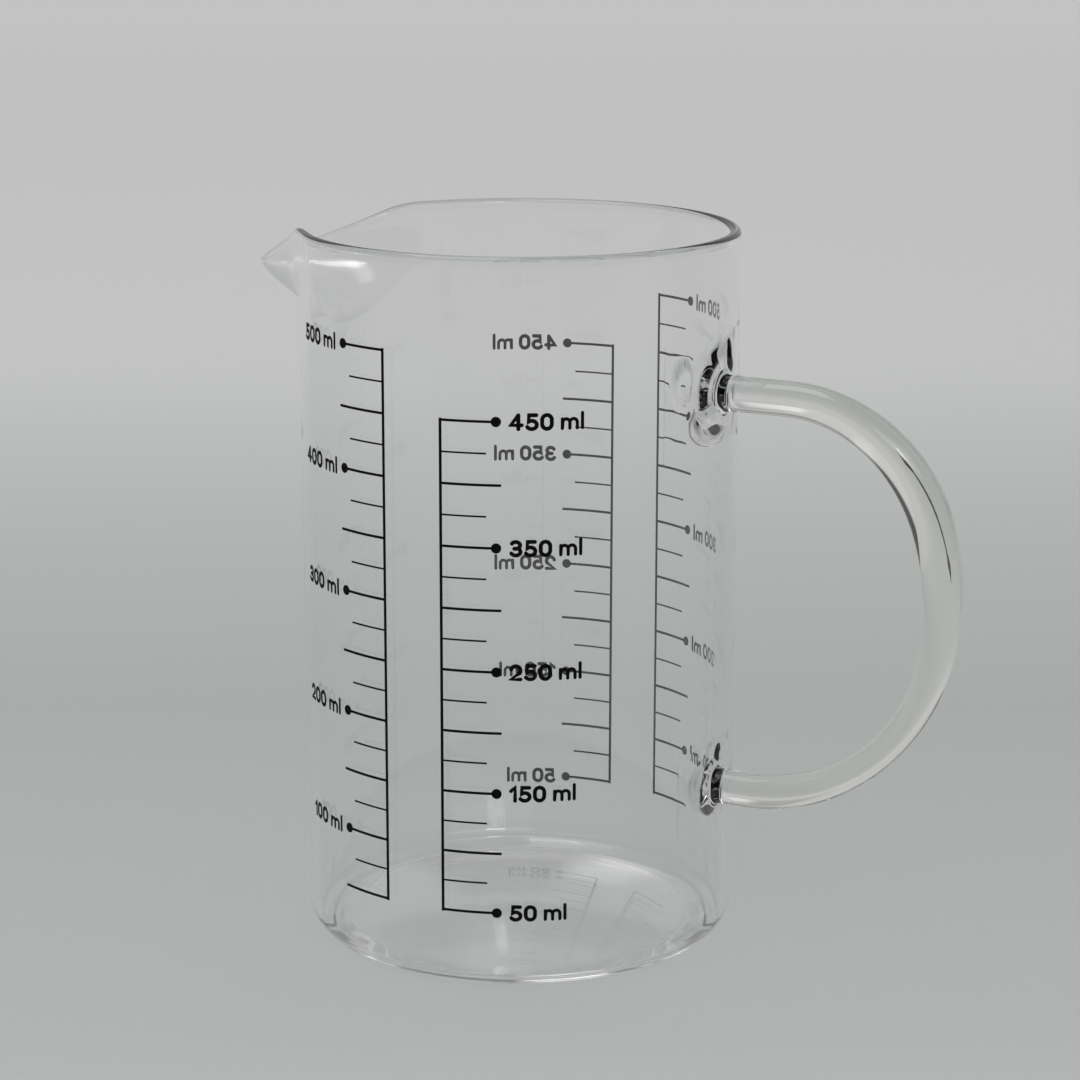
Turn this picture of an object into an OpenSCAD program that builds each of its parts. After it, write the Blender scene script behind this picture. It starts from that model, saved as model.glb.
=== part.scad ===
// Measuring jug: a blown glass tube with a pressed pouring spout, a solid bent glass handle that is
// fused to the wall at two welds, and two printed volume scales on each side.
// Millimetres. Z is the jug's axis, the table is z = 0, the handle points to +X and the spout to -X.

/* [Glass body] */
// Outside diameter of the wall
body_d = 80; // [70:1:100]
// Height of the rim above the table
body_h = 132; // [115:1:170]
// Thickness of the wall
wall = 2.1; // [1.6:0.1:3]
// Diameter of the fire-polished bead on the rim and the lip
bead_d = 2.4; // [2:0.1:4]
// Outside radius of the heel
heel_r = 6; // [4:0.5:8]
// Inside radius of the heel
inner_heel_r = 2; // [1.5:0.5:7]
// Thickness of the base in its middle
base_t = 3; // [2.5:0.1:6]
// Rise of the hollow under the base
punt_h = 4.1; // [0.6:0.1:5]
// Width of the flat ring that the jug stands on
foot_w = 3; // [2:0.5:4.5]

/* [Spout] */
// Distance of the lip's tip from the wall
spout_reach = 14.5; // [10:0.5:20]
// Drop of the lip's tip below the rim
spout_drop = 10; // [6:0.5:14]
// Depth of the spout's keel below the rim, where it leaves the wall
spout_depth = 18; // [15:0.5:24]
// Half of the angle that the mouth of the spout takes out of the rim
mouth_angle = 28; // [20:1:32]
// Diameter of the drops of glass at the tip and at each corner of the mouth
corner_d = 3; // [2.6:0.1:4.4]

/* [Handle] */
// Distance from the wall to the middle of the rod, at its farthest
handle_reach = 43; // [34:0.5:52]
// Height of the upper root below the rim
upper_root_drop = 27; // [22:0.5:36]
// Height of the lower root above the table
lower_root_h = 32.2; // [24:0.5:40]
// Straight run of the rod from the wall to the upper bend
upper_run = 13; // [9:0.5:16]
// Straight run of the rod from the wall to the lower bend
lower_run = 6.5; // [5:0.5:10]
// Rod diameter at the upper root
upper_root_d = 6.4; // [5:0.1:8]
// Rod diameter at the shoulder, where it is thickest
shoulder_d = 7.6; // [6:0.1:9]
// Rod diameter at the lower bend, where the soft rod was drawn thin
bend_d = 5.3; // [4:0.1:7]
// Rod diameter at the lower root
lower_root_d = 6.4; // [5:0.1:8]

/* [Welds] */
// Diameter of the upper weld on the wall
upper_weld_d = 19; // [15:0.5:24]
// Length of the upper weld, out from the wall
upper_weld_l = 6; // [4.5:0.5:8]
// Diameter of the lower weld on the wall
lower_weld_d = 13; // [11:0.5:18]
// Length of the lower weld, out from the wall
lower_weld_l = 4.5; // [3.5:0.5:4.8]
// Thickness of a weld's edge on the wall
weld_edge = 0.7; // [0.4:0.1:1.2]
// Radius of the round between a weld's pad and the rod
weld_flare = 1.2; // [0.6:0.1:3]

/* [Printed scales] */
// Thickness of the fired enamel
ink_t = 0.1; // [0.05:0.01:0.2]
// Clearance between the enamel and the wall
ink_gap = 0.03; // [0.02:0.01:0.06]
// Free height between the top mark and the rim
free_board = 16; // [14:0.5:30]
// Volume from one mark to the next, in millilitres
mark_step = 25; // [25:25:50]
// Distance along the wall between the two scales' upright lines
spine_gap = 11.3; // [8:0.1:16]
// Turn of the rear print from its place opposite the front one, in degrees
rear_turn = -8; // [-15:1:15]
// Width of an upright line
spine_w = 0.5; // [0.3:0.05:0.8]
// Run of an upright line past the edge of its end marks
spine_over = 0.1; // [0.05:0.05:0.5]
// Width of a long mark
long_w = 0.45; // [0.3:0.05:0.8]
// Width of a short mark
short_w = 0.3; // [0.2:0.05:0.6]
// Length of a long mark
long_l = 10.7; // [9:0.1:14]
// Length of a short mark
short_l = 8.1; // [5:0.1:9]
// Length of a mark that ends in a dot
dot_l = 9.8; // [7:0.1:13]
// Diameter of a dot
dot_d = 1.8; // [1:0.1:2.4]

/* [Hidden] */
$fn = 96;
glass = [0.86, 0.90, 0.90, 0.5];
enamel = [0.06, 0.06, 0.06];
over = 1;
dip = 0.02;

// Body
body_r = body_d / 2;
bore_r = body_r - wall;
mid_r = body_r - wall / 2;
rim_z = body_h - bead_d / 2;
punt_r = body_r - heel_r - foot_w;
punt_ball = (punt_r * punt_r + punt_h * punt_h) / (2 * punt_h);
floor_ball = punt_ball + base_t;
floor_z = punt_h + base_t;

// Volume below a height, with the domed floor and the round inner heel taken into account
floor_sag = floor_ball - sqrt(floor_ball * floor_ball - bore_r * bore_r);
dome_room = PI * bore_r * bore_r * floor_sag - PI * floor_sag * floor_sag * (3 * floor_ball - floor_sag) / 3;
heel_loss = (2 - PI / 2) * PI * (bore_r - inner_heel_r / 4) * inner_heel_r * inner_heel_r;
mm3_per_ml = 1000;
function mark_z(ml) = floor_z + (ml * mm3_per_ml - dome_room + heel_loss) / (PI * bore_r * bore_r);
function volume_at(z) = ((z - floor_z) * PI * bore_r * bore_r + dome_room - heel_loss) / mm3_per_ml;

// Spout: a round cone through the lip's tip, the two corners of the mouth and the foot of the keel
tip = [-(body_r + spout_reach), 0, body_h - spout_drop];
corner = [-mid_r * cos(mouth_angle), mid_r * sin(mouth_angle), rim_z];
keel_foot = [-mid_r, 0, body_h - spout_depth];
lip_way = (corner - tip) / norm(corner - tip);
keel_way = (keel_foot - tip) / norm(keel_foot - tip);
cone_rise = atan((keel_way[0] - lip_way[0]) / (lip_way[2] - keel_way[2]));
cone_way = [cos(cone_rise), 0, sin(cone_rise)];
cone_half = acos(cone_way * keel_way);
cone_shift = wall / 2 / sin(cone_half);
cone_l = (spout_reach + body_r - bore_r / 3) / cos(cone_rise);
lip_rise = atan((corner[2] - tip[2]) / (corner[0] - tip[0]));
pool = bead_d / 3;

// Handle: a straight run, three arcs that turn it round, and a straight run back to the wall
upper_root_z = body_h - upper_root_drop;
handle_drop = upper_root_z - lower_root_h;
first_turn = 70;
second_turn = 110;
half_turn = 180;
upper_span = handle_reach - upper_run;
lower_span = handle_reach - lower_run;
first_ease = tan(first_turn / 2);
second_ease = 1 / tan(second_turn / 2);
grip_share = cos(first_turn) - cos(second_turn)
           - first_ease * (1 - sin(first_turn)) - second_ease * (1 - sin(second_turn));
grip_r = (handle_drop - first_ease * upper_span - second_ease * lower_span) / grip_share;
shoulder_r = (upper_span - grip_r * (1 - sin(first_turn))) / sin(first_turn);
bend_r = (lower_span - grip_r * (1 - sin(second_turn))) / sin(second_turn);
shoulder_start = [body_r + upper_run, upper_root_z];
shoulder_centre = shoulder_start - [0, shoulder_r];
grip_centre = shoulder_centre + (shoulder_r - grip_r) * [sin(first_turn), cos(first_turn)];
bend_centre = grip_centre + (grip_r - bend_r) * [sin(second_turn), cos(second_turn)];
upper_end = body_r + upper_weld_l;
lower_end = body_r + lower_weld_l;
rod_sides = 28;
turn_step = 5;
shoulder_turn = 65;
bend_turn = 135;

// Scales: the top mark is the last full fifty that stays below the free board
label_step = 50;
top_ml = label_step * floor(volume_at(body_h - free_board) / label_step);
front_side = -90;
rear_side = 90 + rear_turn;

// Angle that a length along the wall takes up
function wall_angle(length) = length / body_r * 180 / PI;
// Smooth change from 0 to 1
function ease(t) = t * t * (3 - 2 * t);
function ease_between(x, x0, x1, y0, y1) = y0 + (y1 - y0) * ease((x - x0) / (x1 - x0));

// Point of the handle's centre line, by how far the rod has turned
function handle_point(turn) =
    turn <= first_turn ? shoulder_centre + shoulder_r * [sin(turn), cos(turn)]
    : turn <= second_turn ? grip_centre + grip_r * [sin(turn), cos(turn)]
    : bend_centre + bend_r * [sin(turn), cos(turn)];
function rod_d(turn) =
    turn <= shoulder_turn ? ease_between(turn, 0, shoulder_turn, upper_root_d, shoulder_d)
    : turn <= bend_turn ? ease_between(turn, shoulder_turn, bend_turn, shoulder_d, bend_d)
    : ease_between(turn, bend_turn, half_turn, bend_d, lower_root_d);
function rod_ring(centre, turn, d) =
    [for (i = [0 : rod_sides - 1])
        let (a = 360 * i / rod_sides)
        [centre[0] + d / 2 * cos(a) * sin(turn), d / 2 * sin(a), centre[1] + d / 2 * cos(a) * cos(turn)]];

// Wall, base and rim height as a half section
module body_outline() {
    square([body_r - heel_r, heel_r]);
    translate([0, heel_r]) square([body_r, rim_z - heel_r]);
    intersection() {
        translate([body_r - heel_r, heel_r]) circle(heel_r);
        square([body_r, heel_r]);
    }
}

module bore_outline() {
    difference() {
        square([bore_r, floor_z + body_h]);
        translate([0, floor_z - floor_ball]) circle(floor_ball, $fn = 720);
        inner_heel_corner();
    }
}

// Glass left in the corner between the domed floor and the wall; its round dips a hair into the floor
module inner_heel_corner() {
    round_x = bore_r - inner_heel_r;
    round_z = floor_z - floor_ball + sqrt(pow(floor_ball + inner_heel_r, 2) - round_x * round_x) - dip;
    start_x = round_x * floor_ball / (floor_ball + inner_heel_r);
    difference() {
        translate([start_x, 0]) square([bore_r - start_x + over, round_z]);
        translate([round_x, round_z]) circle(inner_heel_r);
    }
}

module punt_outline() {
    intersection() {
        translate([0, punt_h - punt_ball]) circle(punt_ball, $fn = 720);
        translate([0, -over]) square([body_r, punt_h + 2 * over]);
    }
}

// Cone of the spout, with its point at a distance along its axis from the tip, as far as the plane x = end_x
module spout_cone(shift, end_x) {
    intersection() {
        translate(tip + shift * cone_way)
            rotate([0, 90 - cone_rise, 0])
                cylinder(h = cone_l, r1 = 0, r2 = cone_l * tan(cone_half));
        translate([end_x - body_d, -body_d, 0]) cube([body_d, 2 * body_d, 2 * body_h]);
    }
}

// Everything above the plane through the tip and the two corners of the mouth
module above_lip() {
    translate(tip)
        rotate([0, -lip_rise, 0])
            translate([-body_d, -body_d, 0]) cube([3 * body_d, 2 * body_d, body_h]);
}

module round_bar(from, to, d) {
    way = to - from;
    translate(from)
        rotate([0, acos(way[2] / norm(way)), atan2(way[1], way[0])])
            cylinder(h = norm(way), d = d);
}

// Bead on the rim from one corner of the mouth to the other and on along both edges of the lip, with drops of
// glass at the corners, at the tip and behind the tip, where the edges meet
module rim_bead() {
    rotate([0, 0, mouth_angle - half_turn])
        rotate_extrude(angle = 360 - 2 * mouth_angle)
            translate([mid_r, rim_z]) circle(d = bead_d);
    for (side = [-1, 1]) {
        place = [corner[0], side * corner[1], corner[2]];
        round_bar(place, tip, bead_d);
        translate(place) sphere(d = corner_d);
    }
    translate(tip) sphere(d = corner_d);
    translate(tip + pool * [cos(lip_rise), 0, sin(lip_rise)]) sphere(d = corner_d);
}

module glass_body() {
    color(glass) {
        difference() {
            union() {
                rotate_extrude() body_outline();
                spout_cone(-cone_shift, corner[0]);
            }
            rotate_extrude() bore_outline();
            rotate_extrude() punt_outline();
            spout_cone(cone_shift, corner[0] + wall);
            above_lip();
        }
        rim_bead();
    }
}

module handle_rod() {
    turns = [for (t = [0 : turn_step : half_turn]) t];
    rings = concat(
        [rod_ring([upper_end, upper_root_z], 0, upper_root_d)],
        [for (t = turns) rod_ring(handle_point(t), t, rod_d(t))],
        [rod_ring([lower_end, lower_root_h], half_turn, lower_root_d)]);
    last = len(rings) - 1;
    points = [for (ring = rings) each ring];
    sides = [for (k = [0 : last - 1], i = [0 : rod_sides - 1])
        let (j = (i + 1) % rod_sides, a = k * rod_sides, b = a + rod_sides)
        each [[a + i, b + i, b + j], [a + i, b + j, a + j]]];
    ends = [[for (i = [0 : rod_sides - 1]) i],
            [for (i = [rod_sides - 1 : -1 : 0]) last * rod_sides + i]];
    color(glass) polyhedron(points, concat(sides, ends));
}

// Gather of glass round a root of the handle: a thin curved pad on the wall, with a round up to the rod
module weld(height, weld_d, length, rod_end_d) {
    flare = min(weld_flare, (weld_d - rod_end_d) / 2, length - weld_edge);
    color(glass)
        difference() {
            union() {
                translate([0, 0, height])
                    rotate([0, 90, 0]) rotate_extrude() weld_outline(length, rod_end_d, flare);
                intersection() {
                    translate([0, 0, height]) rotate([0, 90, 0]) cylinder(h = body_d, d = weld_d);
                    translate([0, 0, height - weld_d]) cylinder(h = 2 * weld_d, r = body_r + weld_edge);
                }
            }
            translate([0, 0, height - weld_d]) cylinder(h = 2 * weld_d, r = body_r);
        }
}

module weld_outline(length, rod_end_d, flare) {
    round_r = rod_end_d / 2 + flare;
    round_z = sqrt(pow(body_r + weld_edge, 2) - round_r * round_r) + flare;
    translate([0, bore_r]) square([rod_end_d / 2, length + wall]);
    difference() {
        translate([0, bore_r]) square([round_r, round_z - bore_r]);
        translate([round_r, round_z]) circle(flare);
    }
}

module upper_weld() {
    weld(upper_root_z, upper_weld_d, upper_weld_l, upper_root_d);
}

module lower_weld() {
    weld(lower_root_h, lower_weld_d, lower_weld_l, lower_root_d);
}

// Skin of enamel all round the wall, that the strokes and dots of a scale are cut out of
module enamel_skin(low_z, high_z) {
    translate([0, 0, low_z - over])
        difference() {
            cylinder(h = high_z - low_z + 2 * over, r = body_r + ink_gap + ink_t);
            translate([0, 0, -over]) cylinder(h = high_z - low_z + 4 * over, r = body_r + ink_gap);
        }
}

// Wedge through the skin, from an angle and over a length along the wall, centred on a height
module stroke(start, length, z, height) {
    end = start + wall_angle(length);
    inside = bore_r;
    outside = body_r + wall;
    translate([0, 0, z - height / 2])
        linear_extrude(height)
            polygon([inside * [cos(start), sin(start)], outside * [cos(start), sin(start)],
                     outside * [cos(end), sin(end)], inside * [cos(end), sin(end)]]);
}

// Peg through the skin
module dot(angle, z) {
    rotate([0, 0, angle])
        translate([bore_r, 0, z])
            rotate([0, 90, 0]) cylinder(h = 2 * wall, d = dot_d);
}

// One scale. way is 1 where the marks run towards larger angles and -1 where they run back.
module scale_print(spine_angle, way, first_ml) {
    low_z = mark_z(label_step) - long_w / 2 - spine_over;
    high_z = mark_z(first_ml) + long_w / 2 + spine_over;
    color(enamel)
        intersection() {
            enamel_skin(low_z - dot_d, high_z + dot_d);
            union() {
                stroke(spine_angle - wall_angle(spine_w) / 2, spine_w, (low_z + high_z) / 2, high_z - low_z);
                for (ml = [first_ml : -mark_step : label_step]) {
                    z = mark_z(ml);
                    has_dot = (first_ml - ml) % (2 * label_step) == 0;
                    is_long = !has_dot && (first_ml - ml) % label_step == 0;
                    length = has_dot ? dot_l : is_long ? long_l : short_l;
                    start = way > 0 ? spine_angle : spine_angle - wall_angle(length);
                    stroke(start, length, z, has_dot || is_long ? long_w : short_w);
                    if (has_dot)
                        dot(spine_angle + way * wall_angle(dot_l), z);
                }
            }
        }
}

module left_scale(side) {
    scale_print(side - wall_angle(spine_gap / 2), -1, top_ml);
}

module right_scale(side) {
    scale_print(side + wall_angle(spine_gap / 2), 1, top_ml - label_step);
}

module front_scale_500() {
    left_scale(front_side);
}

module front_scale_450() {
    right_scale(front_side);
}

module rear_scale_500() {
    left_scale(rear_side);
}

module rear_scale_450() {
    right_scale(rear_side);
}

glass_body();
handle_rod();
upper_weld();
lower_weld();
front_scale_500();
front_scale_450();
rear_scale_500();
rear_scale_450();
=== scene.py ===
"""A clear glass measuring jug, dressed for its studio picture.

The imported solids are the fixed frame. The glass and the numerals are modelled here with bmesh
operators, in metres and in the frame of the solids: Z is the jug's axis, the handle points to +X
and the spout to -X. The printed marks are the solids themselves, in a fired enamel.
"""

import logging
import math
from dataclasses import dataclass
from enum import Enum, IntEnum

import bmesh
import bpy
from mathutils import Matrix, Vector


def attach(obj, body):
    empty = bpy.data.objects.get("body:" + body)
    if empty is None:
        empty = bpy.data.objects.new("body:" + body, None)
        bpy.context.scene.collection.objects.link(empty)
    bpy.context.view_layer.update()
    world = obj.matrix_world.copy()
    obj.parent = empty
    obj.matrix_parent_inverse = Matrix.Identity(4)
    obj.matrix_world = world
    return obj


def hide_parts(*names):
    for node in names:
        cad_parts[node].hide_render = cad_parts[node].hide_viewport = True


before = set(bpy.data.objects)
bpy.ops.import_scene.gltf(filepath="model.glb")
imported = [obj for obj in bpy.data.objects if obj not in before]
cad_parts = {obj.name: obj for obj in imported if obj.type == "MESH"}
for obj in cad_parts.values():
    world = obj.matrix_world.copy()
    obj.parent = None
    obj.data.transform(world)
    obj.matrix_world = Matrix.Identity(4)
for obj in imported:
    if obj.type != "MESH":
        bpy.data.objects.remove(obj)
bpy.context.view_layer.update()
ROOT = "root"
GLASS_IOR = 1.47
ENAMEL_IOR = 1.5
MERGE = 1e-6  # metres within which two vertices are one
LOG = logging.getLogger("measuring_jug")


class Panel(Enum):
    """The two sides of the wall that carry a print, by the direction that they face in degrees."""

    FRONT = -90.0
    REAR = 82.0


class Reading(Enum):
    """The two scales of a panel, by their top mark in millilitres."""

    HUNDREDS = 500
    FIFTIES = 450


class Layer(IntEnum):
    """The materials of a piece of glass, in the order of its slots."""

    OUTSIDE = 0
    FUSED = 1
    # slot of the painted dark streak, which stands in for a dark reflection in the rod
    SEED = 2


class Shade(Enum):
    """How a mesh is shaded."""

    SMOOTH = "smooth"
    FLAT = "flat"


def smooth_step(value: float, low: float, high: float) -> float:
    """Eases from 0 at low to 1 at high.

    Args:
        value: The number to ease.
        low: Where the rise starts.
        high: Where it ends.

    Returns:
        A number from 0 to 1.
    """
    share = min(max((value - low) / (high - low), 0.0), 1.0)
    return share * share * (3.0 - 2.0 * share)


def soft_max(a: float, b: float, width: float) -> float:
    """Takes the larger of two numbers, with a round passage between them.

    Args:
        a: The first number.
        b: The second number.
        width: The difference within which the passage is round.

    Returns:
        The larger number, or a little more near the passage.
    """
    near = max(width - abs(a - b), 0.0) / width
    return max(a, b) + near * near * width / 4.0


def new_object(name: str, bm: bmesh.types.BMesh, shade: Shade = Shade.SMOOTH) -> bpy.types.Object:
    """Makes an object at the origin from a bmesh, with its place in its mesh.

    Args:
        name: The piece's name.
        bm: The finished mesh, which is freed.
        shade: How its faces are shaded.

    Returns:
        The linked object.
    """
    mesh = bpy.data.meshes.new(name)
    bm.to_mesh(mesh)
    bm.free()
    if shade is Shade.SMOOTH:
        mesh.shade_smooth()
    obj = bpy.data.objects.new(name, mesh)
    bpy.context.scene.collection.objects.link(obj)
    return obj


def sweep(bm: bmesh.types.BMesh, frames: list[Matrix], sides: int) -> None:
    """Draws a round section along a path and closes both of its ends.

    Args:
        bm: The mesh to add to.
        frames: One matrix for each ring. The ring is the unit circle in its XY plane.
        sides: The number of corners of the section.
    """
    ring = bmesh.ops.create_circle(bm, segments=sides, radius=1.0, matrix=frames[0])["verts"]
    edges = list(dict.fromkeys(edge for vert in ring for edge in vert.link_edges))
    bmesh.ops.edgeloop_fill(bm, edges=edges)
    for before, after in zip(frames, frames[1:]):
        grown = bmesh.ops.extrude_edge_only(bm, edges=edges)["geom"]
        verts = {part for part in grown if isinstance(part, bmesh.types.BMVert)}
        edges = [part for part in grown if isinstance(part, bmesh.types.BMEdge) and set(part.verts) <= verts]
        bmesh.ops.transform(bm, matrix=after @ before.inverted(), verts=list(verts))
    bmesh.ops.edgeloop_fill(bm, edges=edges)


def part_edges(bm: bmesh.types.BMesh) -> None:
    """Stops smooth shading where two materials meet.

    Args:
        bm: The mesh.
    """
    for edge in bm.edges:
        edge.smooth = len({face.material_index for face in edge.link_faces}) == 1


def add_mesh(bm: bmesh.types.BMesh, more: bmesh.types.BMesh) -> None:
    """Adds one mesh to another.

    Args:
        bm: The mesh that grows.
        more: The mesh that is added and freed.
    """
    mesh = bpy.data.meshes.new("added")
    more.to_mesh(mesh)
    more.free()
    bm.from_mesh(mesh)
    bpy.data.meshes.remove(mesh)


@dataclass
class Pen:
    """Draws a half section in the XZ plane, from one vertex on.

    Attributes:
        bm: The mesh that takes the line.
        at: The line's last vertex.
    """

    bm: bmesh.types.BMesh
    at: bmesh.types.BMVert

    def line(self, x: float, z: float, cuts: int = 0) -> None:
        """Goes straight to a point.

        Args:
            x: The point's distance from the axis.
            z: The point's height.
            cuts: How many vertices divide the way.
        """
        start, end = self.at.co.copy(), Vector((x, 0.0, z))
        for step in range(1, cuts + 2):
            self.at = bmesh.ops.extrude_vert_indiv(self.bm, verts=[self.at])["verts"][0]
            self.at.co = start.lerp(end, step / (cuts + 1))

    def arc(self, x: float, z: float, turn: float, steps: int) -> None:
        """Goes round a centre.

        Args:
            x: The centre's distance from the axis.
            z: The centre's height.
            turn: The angle in degrees, positive from +X towards +Z.
            steps: The number of edges.
        """
        grown = bmesh.ops.spin(
            self.bm,
            geom=[self.at],
            cent=(x, 0.0, z),
            axis=(0.0, -1.0, 0.0),
            angle=math.radians(turn),
            steps=steps,
        )
        self.at = next(part for part in grown["geom_last"] if isinstance(part, bmesh.types.BMVert))


class NodeBench:
    """Short words for building a material's nodes."""

    def __init__(self, tree: bpy.types.NodeTree) -> None:
        """Starts with an empty tree."""
        self.tree = tree
        tree.nodes.clear()

    def add(self, kind: str, **settings: object) -> bpy.types.Node:
        """Adds a node.

        Args:
            kind: The node's type.
            settings: Properties by name, or inputs by name where the node has no such property.

        Returns:
            The new node.
        """
        node = self.tree.nodes.new(kind)
        for name, value in settings.items():
            if hasattr(node, name):
                setattr(node, name, value)
            else:
                node.inputs[name.replace("_", " ")].default_value = value
        return node

    def join(self, source: bpy.types.NodeSocket, target: bpy.types.NodeSocket) -> None:
        """Links an output to an input."""
        self.tree.links.new(source, target)

    def show(self, surface: bpy.types.NodeSocket, kind: str = "ShaderNodeOutputMaterial") -> None:
        """Ends the tree with an output node that shows a surface."""
        self.join(surface, self.add(kind).inputs["Surface"])

    def by_ray(
        self, rays: tuple[str, ...], usual: bpy.types.NodeSocket, other: bpy.types.NodeSocket
    ) -> bpy.types.NodeSocket:
        """Shows certain rays another surface than the usual one.

        Args:
            rays: The rays, as Light Path names them.
            usual: The surface for the rays that aren't named.
            other: The surface for those that are.

        Returns:
            The mixed surface.
        """
        path = self.add("ShaderNodeLightPath")
        for ray in rays:
            mix = self.add("ShaderNodeMixShader")
            self.join(path.outputs[ray], mix.inputs["Fac"])
            self.join(usual, mix.inputs[1])
            self.join(other, mix.inputs[2])
            usual = mix.outputs["Shader"]
        return usual

    def object_pattern(self, scale: tuple[float, float, float]) -> bpy.types.NodeSocket:
        """Gives the piece's own coordinates, stretched.

        Args:
            scale: The factor along each axis.

        Returns:
            The vector output.
        """
        place = self.add("ShaderNodeTexCoord")
        mapping = self.add("ShaderNodeMapping")
        mapping.inputs["Scale"].default_value = scale
        self.join(place.outputs["Object"], mapping.inputs["Vector"])
        return mapping.outputs["Vector"]

    def ramp(
        self, factor: bpy.types.NodeSocket, stops: list[tuple[float, tuple[float, ...]]]
    ) -> bpy.types.NodeSocket:
        """Turns a number into a colour.

        Args:
            factor: The number.
            stops: Places from 0 to 1 and their colours.

        Returns:
            The colour output.
        """
        node = self.add("ShaderNodeValToRGB")
        row = node.color_ramp.elements
        while len(row) < len(stops):
            row.new(0.5)
        for element, (place, colour) in zip(row, stops):
            element.position = place
            element.color = (*colour, 1.0)
        self.join(factor, node.inputs["Fac"])
        return node.outputs["Color"]


def new_material(name: str) -> tuple[bpy.types.Material, NodeBench]:
    """Starts an empty material.

    Args:
        name: The material's name.

    Returns:
        The material and the bench for its nodes.
    """
    material = bpy.data.materials.new(name)
    material.use_nodes = True
    return material, NodeBench(material.node_tree)


@dataclass(frozen=True)
class GlassFinish:
    """Clear borosilicate glass with the faint waves of hot working.

    Attributes:
        name: The material's name.
        pale: Colour where the glass is clearest.
        deep: Colour where it is a little tinted.
        wave_scale: Waves per metre round, across and up.
        wave_height: Height of the waves in metres.
        wave_strength: Share of the waves that shows.
        shadow: Share of the light on its way to the floor that passes one surface.
    """

    name: str
    pale: tuple[float, float, float]
    deep: tuple[float, float, float]
    wave_scale: tuple[float, float, float]
    wave_height: float
    wave_strength: float
    shadow: tuple[float, float, float] = (0.988, 0.99, 0.988)

    def make(self) -> bpy.types.Material:
        """Builds the material.

        Returns:
            The glass.
        """
        material, bench = new_material(self.name)
        glass = bench.add("ShaderNodeBsdfPrincipled", Roughness=0.0, IOR=GLASS_IOR, Transmission_Weight=1.0)
        waves = bench.add("ShaderNodeTexNoise", Scale=1.0, Detail=1.0, Roughness=0.4)
        bench.join(bench.object_pattern(self.wave_scale), waves.inputs["Vector"])
        bump = bench.add("ShaderNodeBump", Strength=self.wave_strength, Distance=self.wave_height)
        bench.join(waves.outputs["Fac"], bump.inputs["Height"])
        bench.join(bump.outputs["Normal"], glass.inputs["Normal"])
        tint = bench.ramp(waves.outputs["Fac"], [(0.3, self.pale), (0.7, self.deep)])
        bench.join(tint, glass.inputs["Base Color"])
        clear = bench.add("ShaderNodeBsdfTransparent", Color=(*self.shadow, 1.0))
        to_floor = ("Is Diffuse Ray", "Is Shadow Ray")
        bench.show(bench.by_ray(to_floor, glass.outputs["BSDF"], clear.outputs["BSDF"]))
        return material


@dataclass(frozen=True)
class FusedFinish:
    """Faces between two pieces that the flame has made one: light meets nothing there.

    Attributes:
        name: The material's name.
        tint: Colour that the clear passage is named with.
    """

    name: str
    tint: tuple[float, float, float]

    def make(self) -> bpy.types.Material:
        """Builds the material.

        Returns:
            A surface that lets everything through.
        """
        material, bench = new_material(self.name)
        clear = bench.add("ShaderNodeBsdfPrincipled", Base_Color=(*self.tint, 1.0), Alpha=0.0)
        bench.show(clear.outputs["BSDF"])
        return material


@dataclass(frozen=True)
class EnamelFinish:
    """Thin black enamel that was screened on and fired; the same finish also colours the painted dark streak
    in the handle rod.

    Attributes:
        name: The material's name.
        body: Main colour.
        thin: Colour where the print is a little thin.
        grain: Grains per metre.
    """

    name: str
    body: tuple[float, float, float]
    thin: tuple[float, float, float]
    grain: float

    def make(self) -> bpy.types.Material:
        """Builds the material.

        Returns:
            The enamel.
        """
        material, bench = new_material(self.name)
        enamel = bench.add("ShaderNodeBsdfPrincipled", IOR=ENAMEL_IOR, Specular_IOR_Level=0.06)
        grain = bench.add("ShaderNodeTexNoise", Scale=self.grain, Detail=3.0, Roughness=0.6)
        bench.join(bench.object_pattern((1.0, 1.0, 1.0)), grain.inputs["Vector"])
        colour = bench.ramp(grain.outputs["Fac"], [(0.45, self.body), (0.8, self.thin)])
        bench.join(colour, enamel.inputs["Base Color"])
        sheen = bench.add("ShaderNodeMapRange", To_Min=0.42, To_Max=0.62)
        bench.join(grain.outputs["Fac"], sheen.inputs["Value"])
        bench.join(sheen.outputs["Result"], enamel.inputs["Roughness"])
        bump = bench.add("ShaderNodeBump", Strength=0.15, Distance=0.00002)
        bench.join(grain.outputs["Fac"], bump.inputs["Height"])
        bench.join(bump.outputs["Normal"], enamel.inputs["Normal"])
        bench.show(enamel.outputs["BSDF"])
        return material


@dataclass(frozen=True)
class PaperFinish:
    """Matt pale grey background paper, graduated from front to back as painted light and shade.

    Attributes:
        name: The material's name.
        heading: Direction in which it is graduated, in degrees.
        paper_and_light_tones: Distances behind the jug in metres and the paper's colour there, with painted
            shade near and just behind the jug and painted light farther back.
    """

    name: str
    heading: float
    paper_and_light_tones: tuple[tuple[float, tuple[float, float, float]], ...]

    def make(self) -> bpy.types.Material:
        """Builds the material.

        Returns:
            The paper.
        """
        material, bench = new_material(self.name)
        paper = bench.add("ShaderNodeBsdfPrincipled", Roughness=0.9, Specular_IOR_Level=0.1)
        behind = bench.add("ShaderNodeVectorMath", operation="DOT_PRODUCT")
        heading = math.radians(self.heading)
        behind.inputs[1].default_value = (math.cos(heading), math.sin(heading), 0.0)
        bench.join(bench.object_pattern((1.0, 1.0, 1.0)), behind.inputs[0])
        near, far = self.paper_and_light_tones[0][0], self.paper_and_light_tones[-1][0]
        share = bench.add("ShaderNodeMapRange")
        share.inputs["From Min"].default_value, share.inputs["From Max"].default_value = near, far
        bench.join(behind.outputs["Value"], share.inputs["Value"])
        # The ramp paints the light and shade of the tones onto the paper.
        stops = [((place - near) / (far - near), colour) for place, colour in self.paper_and_light_tones]
        bench.join(bench.ramp(share.outputs["Result"], stops), paper.inputs["Base Color"])
        bench.show(paper.outputs["BSDF"])
        return material


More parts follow.
